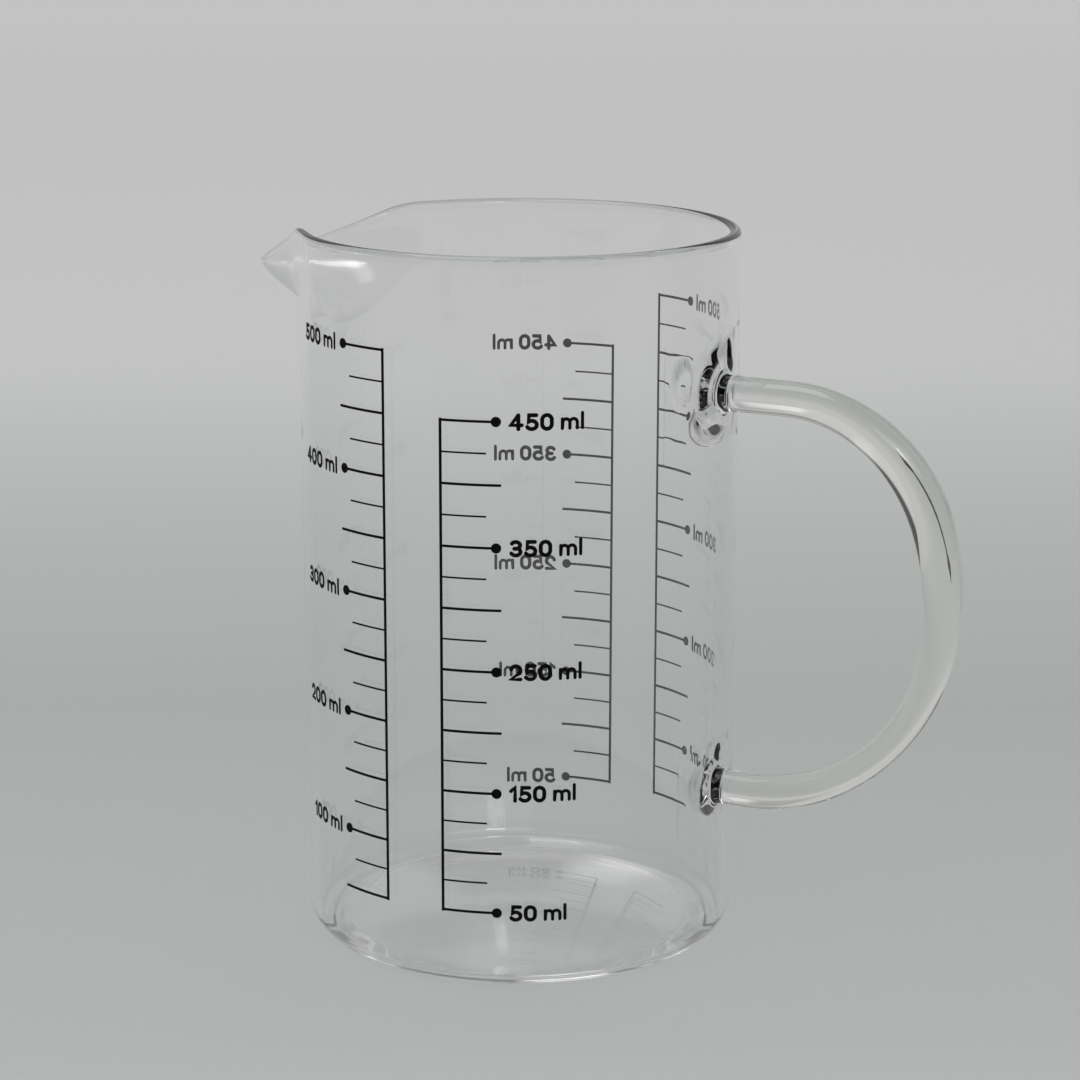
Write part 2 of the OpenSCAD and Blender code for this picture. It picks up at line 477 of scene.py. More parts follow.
WALL_GLASS = GlassFinish(
    "wall_glass",
    pale=(0.995, 0.997, 0.994),
    deep=(0.985, 0.99, 0.985),
    wave_scale=(55.0, 55.0, 14.0),
    wave_height=0.0006,
    wave_strength=0.05,
)
ROD_GLASS = GlassFinish(
    "rod_glass",
    pale=(1.0, 1.0, 0.96),
    deep=(0.995, 0.995, 0.95),
    wave_scale=(60.0, 60.0, 60.0),
    wave_height=0.0008,
    wave_strength=0.05,
)
WELD_GLASS = GlassFinish(
    "weld_glass",
    pale=(0.995, 0.996, 0.988),
    deep=(0.98, 0.984, 0.975),
    wave_scale=(160.0, 160.0, 160.0),
    wave_height=0.001,
    wave_strength=0.1,
)
FUSED_GLASS = FusedFinish("fused_glass", (0.9, 0.92, 0.9))
BLACK_ENAMEL = EnamelFinish("black_enamel", (0.003, 0.003, 0.0034), (0.009, 0.009, 0.0095), 900.0)
# Painted dark streak in the handle rod: a dark line that stands in for a dark reflection seen through the
# glass, in the enamel finish.
PAINTED_DARK_STREAK = EnamelFinish("painted_dark_streak", (0.1, 0.1, 0.095), (0.2, 0.2, 0.19), 900.0)
# Pale grey paper with painted light and shade: a painted soft shadow darkens it near and just behind the jug,
# it grows lighter far behind, and it is darker behind the camera.
GREY_PAPER = PaperFinish(
    "grey_paper",
    heading=117.6,
    paper_and_light_tones=(
        (-2.5, (0.44, 0.445, 0.44)),
        (-0.6, (0.43, 0.438, 0.434)),
        (-0.33, (0.5, 0.51, 0.505)),
        (-0.14, (0.51, 0.52, 0.515)),
        (-0.065, (0.445, 0.455, 0.45)),
        (0.02, (0.42, 0.435, 0.43)),
        (0.14, (0.39, 0.405, 0.4)),
        (0.3, (0.44, 0.453, 0.45)),
        (0.45, (0.503, 0.513, 0.51)),
        (0.56, (0.555, 0.562, 0.56)),
        (0.73, (0.573, 0.575, 0.573)),
        (2.5, (0.66, 0.66, 0.655)),
    ),
)


@dataclass(frozen=True)
class Swell:
    """One swelling of a weld, as the flame and the tongs left it.

    Attributes:
        across: Place along the wall from the root.
        up: Place above the root.
        half_w: Half of its width.
        half_h: Half of its height.
        thick: Thickness in its middle.
        brim: Share of its reach at which it starts to thin out.
    """

    across: float
    up: float
    half_w: float
    half_h: float
    thick: float
    brim: float = 0.2

    def at(self, across: float, up: float) -> float:
        """Gives its thickness.

        Args:
            across: Place along the wall from the root.
            up: Place above the root.

        Returns:
            The thickness there.
        """
        reach = math.hypot((across - self.across) / self.half_w, (up - self.up) / self.half_h)
        return self.thick * (1.0 - smooth_step(reach, self.brim, 1.0))


@dataclass
class Weld:
    """The gather of glass that joins one end of the rod to the wall.

    It is a film on a patch of the wall that swells to a pad and rises to the rod. The faces towards
    the wall and the rod are inside fused glass.

    Attributes:
        node: The solid that it stands for.
        z: Height of the root.
        length: How far it stands out from the wall.
        half_turn: Half of the patch in degrees, a whole number of the body's sections.
        half_h: Half of the patch's height.
        swells: The swellings of the pad.
        flare: Radius of the round passage from the pad to the rod.
        rod_r: Radius of the rod that it runs into.
        wall_r: Radius of the wall that it lies on.
        gap: Hair line to the wall and to the rod, and thickness of the film.
        rings: Number of rows of faces from the rod to the patch's edge.
        crowd: How much these rows crowd towards the rod.
        turns: Number of rows of faces in the round passage, and under the pad.
        sides: Number of columns of faces round the rod.
    """

    node: str
    z: float
    length: float
    half_turn: float
    half_h: float
    swells: tuple[Swell, ...]
    flare: float
    rod_r: float = 0.0032
    wall_r: float = 0.040
    gap: float = 0.00001
    rings: int = 48
    crowd: float = 1.15
    turns: int = 12
    sides: int = 144

    @property
    def edges(self) -> tuple[float, float]:
        """Gives the heights of the patch's lower and upper edge."""
        return self.z - self.half_h, self.z + self.half_h

    def spot(self, across: float, up: float, thick: float) -> Vector:
        """Gives a point at a distance from the wall.

        Args:
            across: Place across the rod, from its axis.
            up: Place above the rod's axis.
            thick: Distance from the wall.

        Returns:
            The point.
        """
        return Vector((math.sqrt((self.wall_r + thick) ** 2 - across**2), across, self.z + up))

    def pad(self, across: float, up: float) -> float:
        """Gives the distance of the weld's outside from the wall, away from the rod."""
        return 2.0 * self.gap + sum(swell.at(across, up) for swell in self.swells)

    def section(self, share: float) -> tuple[list[Vector], list[bool]]:
        """Draws the weld's outline in one direction, from the rod's axis round to the wall under it.

        Args:
            share: The direction, as a share of the way round the patch's edge.

        Returns:
            The points, and for each step between them whether it is inside fused glass.
        """
        half_w = self.wall_r * math.sin(math.radians(self.half_turn))
        high = self.half_h
        side, along = divmod(4.0 * (share % 1.0), 1.0)
        corners = [(half_w, -high), (half_w, high), (-half_w, high), (-half_w, -high)]
        start, end = corners[int(side)], corners[(int(side) + 1) % 4]
        edge = Vector(start).lerp(Vector(end), along)
        way = edge.normalized()
        cap = Vector((self.wall_r + self.length - self.gap, 0.0, self.z))
        points = [cap + Vector((0.0, *(way * self.rod_r * part))) for part in (0.0, 0.5, 1.0)]
        root = way * (self.rod_r + self.flare)
        foot = self.pad(*root)
        for step in range(self.turns + 1):
            turn = math.radians(90.0 * step / self.turns)
            spread = way * (root.length - self.flare * math.cos(turn))
            points.append(self.spot(*spread, foot + self.flare * (1.0 - math.sin(turn))))
        for step in range(1, self.rings + 1):
            place = root.lerp(edge, (step / self.rings) ** self.crowd)
            points.append(self.spot(*place, self.pad(*place)))
        glass = len(points)
        points += [self.spot(*(edge * (1.0 - step / self.turns)), self.gap) for step in range(self.turns + 1)]
        fused = [not 1 < step < glass - 1 for step in range(len(points) - 1)]
        return points, fused

    def build(self) -> bpy.types.Object:
        """Wraps a grid round the rod's root, from the rod to the wall.

        Returns:
            The weld.
        """
        fused = self.section(0.0)[1]
        rows = len(fused)
        bm = bmesh.new()
        bmesh.ops.create_grid(bm, x_segments=self.sides, y_segments=rows, size=0.5)
        for face in bm.faces:
            row = int((face.calc_center_median().y + 0.5) * rows)
            face.material_index = Layer.FUSED if fused[row] else Layer.OUTSIDE
        columns = [self.section(step / self.sides)[0] for step in range(self.sides)]
        for vert in bm.verts:
            column = round((vert.co.x + 0.5) * self.sides) % self.sides
            vert.co = columns[column][round((vert.co.y + 0.5) * rows)]
        bmesh.ops.remove_doubles(bm, verts=bm.verts, dist=MERGE)
        bmesh.ops.recalc_face_normals(bm, faces=bm.faces)
        part_edges(bm)
        return new_object(self.node + "_gather", bm)

    def dress(self, obj: bpy.types.Object, glass: bpy.types.Material, fused: bpy.types.Material) -> None:
        """Gives the weld its glass and its place in the frame.

        Args:
            obj: The weld.
            glass: The glass.
            fused: The finish of the faces inside fused glass.
        """
        obj.data.materials.append(glass)
        obj.data.materials.append(fused)
        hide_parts(self.node)
        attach(obj, ROOT)


UPPER_WELD = Weld(
    "upper_weld",
    z=0.105,
    length=0.006,
    half_turn=23.4375,
    half_h=0.0105,
    flare=0.0012,
    swells=(
        Swell(0.0, 0.0, 0.0085, 0.0092, 0.0006, 0.6),
        Swell(-0.0118, 0.0033, 0.003, 0.0047, 0.0006, 0.5),
        Swell(-0.003, -0.0052, 0.0075, 0.0042, 0.0006, 0.5),
        Swell(0.004, 0.006, 0.0035, 0.004, 0.0006),
    ),
)
LOWER_WELD = Weld(
    "lower_weld",
    z=0.0322,
    length=0.0045,
    half_turn=16.875,
    half_h=0.008,
    flare=0.001,
    swells=(
        Swell(0.0, -0.0005, 0.0062, 0.006, 0.0009, 0.5),
        Swell(-0.0062, 0.001, 0.004, 0.004, 0.0004),
        Swell(0.002, 0.0055, 0.0025, 0.0022, 0.0004),
    ),
)


@dataclass
class GlassBody:
    """The blown tube with its base, heel, rim and pressed spout.

    Attributes:
        welds: The welds on its wall.
        outer_r: Outside radius.
        wall: Thickness of the wall.
        rim_z: Height of the middle of the rim's bead.
        bead_r: Radius of the bead.
        heel_r: Outside radius of the heel.
        inner_heel_r: Inside radius of the heel.
        floor_z: Height of the middle of the floor.
        punt_h: Rise of the hollow under the base.
        punt_r: Radius of that hollow.
        press_z: Height from which the pressing has moved the wall.
        draw_z: Height from which it has drawn the glass round towards the spout.
        drawn_z: Height at which the glass is fully drawn.
        draw_keep: Share of its turn that the glass nearest to the spout keeps.
        press_angle: Half of the sector that it has moved, in degrees.
        tip_reach: Distance of the lip's tip from the axis.
        tip_z: Height of the lip's tip.
        mouth_angle: Half of the angle of the mouth, in degrees.
        lip_angle: Half of the angle outside which the rim is plain, in degrees.
        keel_z: Height at which the keel leaves the wall.
        tip_round: Radius of the keel at the tip.
        crease: Width of the round crease between spout and wall.
        lip_thin: Share of the wall's thickness that the pressing has drawn out at the lip.
        fine_row: Height of a row of faces where the wall is pressed.
        middle_row: Height of a row of faces where the glass is only drawn round.
        coarse_row: Height of a row of faces below.
        inner_cuts: How often the pressed, the drawn and the plain stretch of the bore are cut.
        foot_cuts: How often the flat foot ring is cut.
        base_steps: Rows of faces under the base, and round the heel.
        bead_steps: Rows of faces round the bead.
        fillet_steps: Rows of faces in the inner heel.
        floor_steps: Rows of faces on the floor.
        steps: Number of sections round the axis.
    """

    welds: list[Weld]
    outer_r: float = 0.040
    wall: float = 0.0021
    rim_z: float = 0.13092
    bead_r: float = 0.00108
    heel_r: float = 0.006
    inner_heel_r: float = 0.002
    floor_z: float = 0.0071
    punt_h: float = 0.0041
    punt_r: float = 0.031
    press_z: float = 0.100
    draw_z: float = 0.080
    drawn_z: float = 0.110
    draw_keep: float = 0.25
    press_angle: float = 75.0
    tip_reach: float = 0.0545
    tip_z: float = 0.122
    mouth_angle: float = 28.0
    lip_angle: float = 60.0
    keel_z: float = 0.114
    tip_round: float = 0.0015
    crease: float = 0.0045
    lip_thin: float = 0.4
    fine_row: float = 0.00095
    middle_row: float = 0.0016
    coarse_row: float = 0.006
    inner_cuts: tuple[int, int, int] = (31, 12, 12)
    foot_cuts: int = 2
    base_steps: int = 24
    bead_steps: int = 16
    fillet_steps: int = 12
    floor_steps: int = 32
    steps: int = 384

    def __post_init__(self) -> None:
        """Works out the round-nosed cone that the spout is pressed to."""
        self.mid_r = self.outer_r - self.wall / 2.0
        self.tip = Vector((-self.tip_reach, 0.0, self.tip_z))
        mouth = math.radians(self.mouth_angle)
        corner = Vector((-self.mid_r * math.cos(mouth), self.mid_r * math.sin(mouth), self.rim_z)) - self.tip
        keel = Vector((-self.mid_r, 0.0, self.keel_z)) - self.tip
        lip_way, keel_way = corner.normalized(), keel.normalized()
        rise = math.atan((keel_way.x - lip_way.x) / (lip_way.z - keel_way.z))
        self.cone_way = Vector((math.cos(rise), 0.0, math.sin(rise)))
        self.lip_slope = corner.z / corner.x
        along = corner.dot(self.cone_way)
        across = corner.length_squared - along * along
        self.spread = (across - 2.0 * along * self.tip_round) / (along * along)
        self.nose = self.tip_round / self.spread

    def profile(self, bm: bmesh.types.BMesh) -> None:
        """Draws the half section of the jug before the spout is pressed.

        Args:
            bm: The mesh that takes the line.
        """
        bore_r = self.outer_r - self.wall
        punt_ball = (self.punt_r**2 + self.punt_h**2) / (2.0 * self.punt_h)
        floor_ball = punt_ball + self.floor_z - self.punt_h
        fillet_r = bore_r - self.inner_heel_r
        fillet_z = self.floor_z - floor_ball + math.sqrt((floor_ball + self.inner_heel_r) ** 2 - fillet_r**2)
        lean = math.degrees(math.asin(fillet_r / (floor_ball + self.inner_heel_r)))
        bead_start = math.degrees(math.acos(self.wall / 2.0 / self.bead_r))
        bead_low = self.rim_z - self.bead_r * math.sin(math.radians(bead_start))
        pen = Pen(bm, bm.verts.new((0.0, 0.0, self.punt_h)))
        punt_turn = math.degrees(math.asin(self.punt_r / punt_ball))
        pen.arc(0.0, self.punt_h - punt_ball, -punt_turn, self.base_steps)
        pen.line(self.outer_r - self.heel_r, 0.0, self.foot_cuts)
        pen.arc(self.outer_r - self.heel_r, self.heel_r, 90.0, self.base_steps)
        low = self.heel_r
        stops = [edge for weld in self.welds for edge in weld.edges] + [self.draw_z, bead_low]
        for high in sorted(stops):
            pen.line(self.outer_r, high, int((high - low) / self.row_below(high)))
            low = high
        pen.arc(self.mid_r, self.rim_z, 180.0 + 2.0 * bead_start, self.bead_steps)
        for z, cuts in zip((self.press_z, self.draw_z, fillet_z), self.inner_cuts):
            pen.line(bore_r, z, cuts)
        pen.arc(fillet_r, fillet_z, -90.0 - lean, self.fillet_steps)
        pen.arc(0.0, self.floor_z - floor_ball, lean, self.floor_steps)

    def row_below(self, z: float) -> float:
        """Gives the height of a row of faces on the outside of the wall.

        Args:
            z: The upper end of a stretch of the wall.

        Returns:
            The largest height of a row in that stretch.
        """
        if z > self.press_z:
            return self.fine_row
        return self.middle_row if z > self.draw_z else self.coarse_row

    def lip(self, turn: float) -> tuple[float, float]:
        """Finds the edge of the glass in one direction.

        Args:
            turn: The direction's angle from the spout, in radians.

        Returns:
            The edge's distance from the axis and its height, at the middle of the wall.
        """
        if abs(turn) >= math.radians(self.lip_angle):
            return self.mid_r, self.rim_z
        lean = math.tan(turn) ** 2
        run = self.cone_way.x + self.lip_slope * self.cone_way.z
        a = 1.0 + self.lip_slope**2 + lean - (1.0 + self.spread) * run * run
        b = -2.0 * (self.tip_reach * lean + self.spread * self.nose * run)
        c = self.tip_reach**2 * lean
        back = 2.0 * c / (-b + math.sqrt(max(b * b - 4.0 * a * c, 0.0))) if c else 0.0
        height = self.tip_z + self.lip_slope * back
        radius = (self.tip_reach - back) / math.cos(turn)
        soft = self.crease / 3.0
        return soft_max(radius, self.mid_r, self.crease_at(turn)), -soft_max(-height, -self.rim_z, soft)

    def crease_at(self, turn: float) -> float:
        """Gives the crease's width in one direction: it ends behind the corners of the mouth."""
        mouth = math.radians(self.mouth_angle)
        return self.crease * (1.0 - 0.999 * smooth_step(abs(turn), mouth, 2.0 * mouth))

    def cone_radius(self, turn: float, z: float) -> float:
        """Finds the spout's surface in one direction and at one height.

        Args:
            turn: The direction's angle from the spout, in radians.
            z: The height.

        Returns:
            Its distance from the axis, or 0 where there is none.
        """
        way = Vector((-math.cos(turn), math.sin(turn), 0.0))
        start = Vector((0.0, 0.0, z)) - self.tip
        along, rate = start.dot(self.cone_way), way.dot(self.cone_way)
        share = 1.0 + self.spread
        a = 1.0 - share * rate * rate
        b = 2.0 * (start.dot(way) - share * along * rate - self.spread * self.nose * rate)
        c = start.length_squared - share * along * along - 2.0 * self.spread * self.nose * along
        inside = b * b - 4.0 * a * c
        if c >= 0.0 or inside < 0.0:
            return 0.0
        return -2.0 * c / (b + math.sqrt(inside))

    def middle(self, turn: float, z: float) -> Vector:
        """Gives a point of the middle of the wall after pressing.

        Args:
            turn: The angle from the spout, in radians.
            z: The height before pressing, at most rim_z.

        Returns:
            The point.
        """
        edge_z = self.lip(turn)[1]
        share = max(z - self.press_z, 0.0) / (self.rim_z - self.press_z)
        height = min(z, self.press_z) + share * (edge_z - self.press_z)
        radius = soft_max(self.mid_r, self.cone_radius(turn, height), self.crease_at(turn))
        return Vector((-radius * math.cos(turn), radius * math.sin(turn), height))

    def press(self, vert: bmesh.types.BMVert) -> None:
        """Moves one vertex of the plain tube to where the pressing takes it.

        Args:
            vert: The vertex.
        """
        limit = math.radians(self.press_angle)
        turn = math.atan2(vert.co.y, -vert.co.x)
        if abs(turn) >= limit or vert.co.z < self.draw_z:
            return
        drawn = 1.0 - smooth_step(abs(turn), 0.0, limit)
        thin = 1.0 - self.lip_thin * drawn * smooth_step(vert.co.z, self.press_z, self.rim_z)
        offset = (math.hypot(vert.co.x, vert.co.y) - self.mid_r) * thin
        base_z = min(vert.co.z, self.rim_z)
        share = turn / limit
        close = limit * (self.draw_keep * share + (1.0 - self.draw_keep) * share**3)
        turn += (close - turn) * smooth_step(vert.co.z, self.draw_z, self.drawn_z)
        step, drop = math.radians(0.15), 0.0002
        here = self.middle(turn, base_z)
        across = self.middle(turn + step, base_z) - self.middle(turn - step, base_z)
        upward = (here - self.middle(turn, base_z - drop)).normalized()
        outward = upward.cross(across).normalized()
        vert.co = here + offset * outward + (vert.co.z - base_z) * thin * upward

    def is_fused(self, face: bmesh.types.BMFace) -> bool:
        """Says whether a face of the plain tube lies under a weld.

        Args:
            face: The face.

        Returns:
            True on the outside of the wall, within the patch of a weld.
        """
        place = face.calc_center_median()
        turn = abs(math.degrees(math.atan2(place.y, place.x)))
        if math.hypot(place.x, place.y) <= self.mid_r:
            return False
        return any(turn < weld.half_turn and abs(place.z - weld.z) < weld.half_h for weld in self.welds)

    def build(self) -> bpy.types.Object:
        """Builds the tube, presses the spout and gives the piece.

        Returns:
            The body.
        """
        bm = bmesh.new()
        self.profile(bm)
        bmesh.ops.spin(
            bm,
            geom=bm.verts[:] + bm.edges[:],
            cent=(0.0, 0.0, 0.0),
            axis=(0.0, 0.0, 1.0),
            angle=2.0 * math.pi,
            steps=self.steps,
            use_merge=True,
        )
        bmesh.ops.remove_doubles(bm, verts=bm.verts, dist=MERGE)
        for face in bm.faces:
            face.material_index = Layer.FUSED if self.is_fused(face) else Layer.OUTSIDE
        for vert in bm.verts:
            self.press(vert)
        bmesh.ops.recalc_face_normals(bm, faces=bm.faces)
        return new_object("jug_body", bm)

    def dress(self, obj: bpy.types.Object, glass: bpy.types.Material, fused: bpy.types.Material) -> None:
        """Gives the body its glass and its place in the frame.

        Args:
            obj: The body.
            glass: The glass.
            fused: The finish of the faces inside fused glass.
        """
        obj.data.materials.append(glass)
        obj.data.materials.append(fused)
        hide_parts("glass_body")
        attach(obj, ROOT)


@dataclass
class HandleRod:
    """The solid rod, bent by hand into a bow of three arcs.

    Attributes:
        upper_end: Distance of the upper end from the axis.
        lower_end: Distance of the lower end from the axis.
        upper_z: Height of the upper end.
        lower_z: Height of the lower end.
        reach: Largest distance of the rod's middle from the axis.
        upper_run: Where the upper bend starts.
        lower_run: Where the lower bend ends.
        first_turn: Turn at which the grip starts, in degrees.
        second_turn: Turn at which the grip ends, in degrees.
        girths: Turn in degrees and diameter, from end to end.
        turn_step: Turn from one section to the next, in degrees.
        seed: Finish of the painted dark streak in the rod, a dark line in the glass that stands in for a dark
            reflection seen through the rod.
        streak_turns: Turns in degrees between which the painted streak runs.
        streak_r: Its largest radius.
        streak_out: How far its ends lie outside the rod's middle.
        streak_spots: Where along the line it is thicker, as darker spots of the painted shade, and by what
            share of its radius.
        spot_w: Half of such a spot's width, as a share of the line.
        streak_thin: Shares of its radius in the middle of the line and at its ends, without the spots.
        streak_steps: Number of rows of faces along it.
        streak_sides: Number of corners of its section.
        sides: Number of corners of the rod's section.
    """

    upper_end: float = 0.046
    lower_end: float = 0.0445
    upper_z: float = 0.105
    lower_z: float = 0.0322
    reach: float = 0.083
    upper_run: float = 0.053
    lower_run: float = 0.0465
    first_turn: float = 70.0
    second_turn: float = 110.0
    girths: tuple[tuple[float, float], ...] = (
        (0.0, 0.0064),
        (65.0, 0.0076),
        (135.0, 0.0053),
        (180.0, 0.0064),
    )
    turn_step: float = 2.0
    # finish of the painted dark streak
    seed: EnamelFinish = PAINTED_DARK_STREAK
    streak_turns: tuple[float, float] = (42.5, 84.0)
    streak_r: float = 0.0003
    streak_out: tuple[float, float] = (0.0005, 0.0011)
    streak_spots: tuple[tuple[float, float], ...] = ((0.15, 0.5), (0.91, 0.4))
    spot_w: float = 0.055
    streak_thin: tuple[float, float] = (0.36, 0.03)
    streak_steps: int = 48
    streak_sides: int = 16
    sides: int = 72

    def __post_init__(self) -> None:
        """Works out the three arcs, each of which goes on from the one before."""
        first, second = math.radians(self.first_turn), math.radians(self.second_turn)
        upper, lower = self.reach - self.upper_run, self.reach - self.lower_run
        ease_a, ease_b = math.tan(first / 2.0), 1.0 / math.tan(second / 2.0)
        share = math.cos(first) - math.cos(second)
        share -= ease_a * (1.0 - math.sin(first)) + ease_b * (1.0 - math.sin(second))
        self.grip_r = (self.upper_z - self.lower_z - ease_a * upper - ease_b * lower) / share
        self.shoulder_r = (upper - self.grip_r * (1.0 - math.sin(first))) / math.sin(first)
        self.bend_r = (lower - self.grip_r * (1.0 - math.sin(second))) / math.sin(second)
        self.shoulder = Vector((self.upper_run, 0.0, self.upper_z - self.shoulder_r))
        self.grip = self.shoulder + (self.shoulder_r - self.grip_r) * self.outward(self.first_turn)
        self.bend = self.grip + (self.grip_r - self.bend_r) * self.outward(self.second_turn)

    @staticmethod
    def outward(turn: float) -> Vector:
        """Gives the direction from an arc's centre to the rod, at a turn in degrees."""
        return Vector((math.sin(math.radians(turn)), 0.0, math.cos(math.radians(turn))))

    def point(self, turn: float) -> Vector:
        """Gives the rod's middle.

        Args:
            turn: How far the rod has turned, in degrees.

        Returns:
            The point.
        """
        if turn <= self.first_turn:
            return self.shoulder + self.shoulder_r * self.outward(turn)
        if turn <= self.second_turn:
            return self.grip + self.grip_r * self.outward(turn)
        return self.bend + self.bend_r * self.outward(turn)

    def girth(self, turn: float) -> float:
        """Gives the rod's diameter.

        Args:
            turn: How far the rod has turned, in degrees.

        Returns:
            The diameter there.
        """
        for (low, thick), (high, thin) in zip(self.girths, self.girths[1:]):
            if turn <= high:
                return thick + (thin - thick) * smooth_step(turn, low, high)
        return self.girths[-1][1]

    @staticmethod
    def ring(place: Vector, turn: float, size: float) -> Matrix:
        """Gives one round section.

        Args:
            place: The middle of the section.
            turn: How far the rod has turned, in degrees.
            size: The section's radius.

        Returns:
            The section's frame.
        """
        facing = Matrix.Rotation(math.radians(90.0 + turn), 4, "Y")
        return Matrix.Translation(place) @ facing @ Matrix.Scale(size, 4)

    def build(self) -> bpy.types.Object:
        """Draws the rod from its upper end to its lower end.

        Returns:
            The handle.
        """
        turns = [self.turn_step * step for step in range(round(180.0 / self.turn_step) + 1)]
        rings = [self.ring(Vector((self.upper_end, 0.0, self.upper_z)), 0.0, self.girth(0.0) / 2.0)]
        rings += [self.ring(self.point(turn), turn, self.girth(turn) / 2.0) for turn in turns]
        rings.append(self.ring(Vector((self.lower_end, 0.0, self.lower_z)), 180.0, self.girth(180.0) / 2.0))
        bm = bmesh.new()
        sweep(bm, rings, self.sides)
        bmesh.ops.recalc_face_normals(bm, faces=bm.faces)
        for face in bm.faces:
            face.material_index = Layer.FUSED if len(face.verts) == self.sides else Layer.OUTSIDE
        part_edges(bm)
        # adds the painted dark streak inside the rod
        add_mesh(bm, self.painted_streak_line())
        return new_object("handle_bow", bm)

    def painted_streak_line(self) -> bmesh.types.BMesh:
        """Draws the painted dark streak, a thin dark line that stands in for a dark reflection seen through
        the rod.

        Returns:
            The painted streak's mesh.
        """
        first, last = self.streak_turns
        middle, end = self.streak_thin
        rings: list[Matrix] = []
        for step in range(self.streak_steps + 1):
            share = step / self.streak_steps
            turn = first + (last - first) * share
            out = self.streak_out[0] + (self.streak_out[1] - self.streak_out[0]) * share
            size = self.streak_r * max(middle * math.sin(math.pi * share), end)
            # thicker places give darker spots of the painted shade
            for at, tall in self.streak_spots:
                size += tall * self.streak_r * math.exp(-(((share - at) / self.spot_w) ** 2))
            rings.append(self.ring(self.point(turn) + out * self.outward(turn), turn, size))
        bm = bmesh.new()
        sweep(bm, rings, self.streak_sides)
        bmesh.ops.recalc_face_normals(bm, faces=bm.faces)
        for face in bm.faces:
            # these faces carry the painted dark streak's finish
            face.material_index = Layer.SEED
        return bm

    def dress(self, obj: bpy.types.Object, glass: bpy.types.Material, fused: bpy.types.Material) -> None:
        """Gives the rod its glass and its place in the frame.

        Args:
            obj: The rod.
            glass: The glass.
            fused: The finish of the faces inside fused glass.
        """
        obj.data.materials.append(glass)
        obj.data.materials.append(fused)
        # the painted dark streak's finish goes in the third slot
        obj.data.materials.append(self.seed.make())
        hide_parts("handle_rod")
        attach(obj, ROOT)


